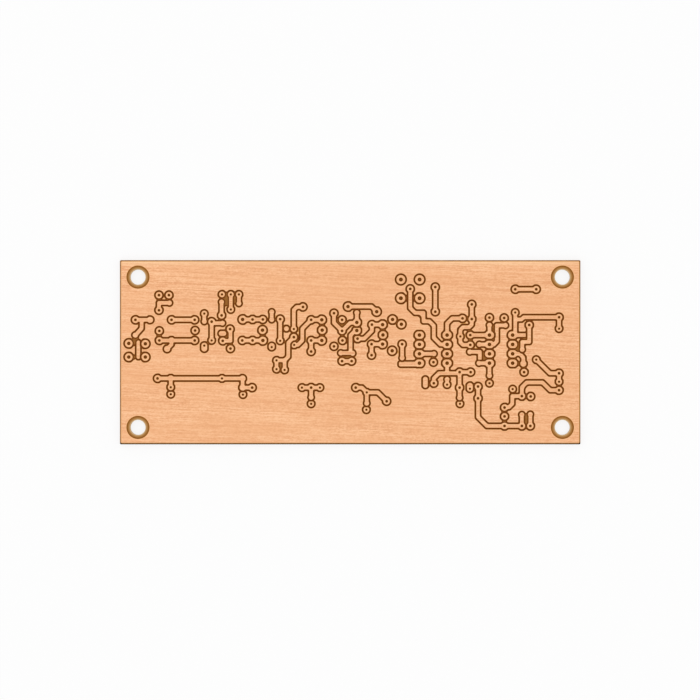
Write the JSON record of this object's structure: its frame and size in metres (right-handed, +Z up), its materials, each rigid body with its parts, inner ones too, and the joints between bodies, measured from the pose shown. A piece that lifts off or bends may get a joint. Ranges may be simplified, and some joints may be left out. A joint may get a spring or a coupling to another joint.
{
  "type": "copper clad board",
  "caption": "Single-sided prototype circuit board: copper foil on brown laminate, cut by milled isolation grooves into pads and traces, with corner mounting holes.",
  "frame": {"origin": "centre of the laminate's underside", "axes": "+X along the board's length, +Y across it towards the edge that is at the top of the layout, +Z up out of the foil face"},
  "size_m": [0.125, 0.05, 0.0015],
  "materials": {
    "laminate": "matte phenolic paper laminate",
    "copper": "bare copper foil, finely brushed along the board"
  },
  "bodies": {
    "root": {"blank_islands": "copper", "chip_pads": "copper", "copper_field": "copper", "foil_slivers": "copper", "laminate": "laminate", "large_pads": "copper", "oval_pads": "copper", "small_pads": "copper", "socket_pads": "copper", "standard_pads": "copper", "trace_left_01": "copper", "trace_left_02": "copper", "trace_left_03": "copper", "trace_left_04": "copper", "trace_left_05": "copper", "trace_left_06": "copper", "trace_left_07": "copper", "trace_left_08": "copper", "trace_left_09": "copper", "trace_left_10": "copper", "trace_left_11": "copper", "trace_left_12": "copper", "trace_left_13": "copper", "trace_middle_01": "copper", "trace_middle_02": "copper", "trace_middle_03": "copper", "trace_middle_04": "copper", "trace_middle_05": "copper", "trace_middle_06": "copper", "trace_middle_07": "copper", "trace_middle_08": "copper", "trace_middle_09": "copper", "trace_middle_10": "copper", "trace_middle_11": "copper", "trace_middle_12": "copper", "trace_middle_13": "copper", "trace_middle_14": "copper", "trace_right_01": "copper", "trace_right_02": "copper", "trace_right_03": "copper", "trace_right_04": "copper", "trace_right_05": "copper", "trace_right_06": "copper", "trace_right_07": "copper", "trace_right_08": "copper", "trace_right_09": "copper", "trace_right_10": "copper", "trace_right_11": "copper", "trace_right_12": "copper", "trace_right_13": "copper", "trace_right_14": "copper", "trace_right_15": "copper", "trace_right_16": "copper", "trace_right_17": "copper", "trace_right_18": "copper", "trace_right_19": "copper"}
  },
  "joints": []
}
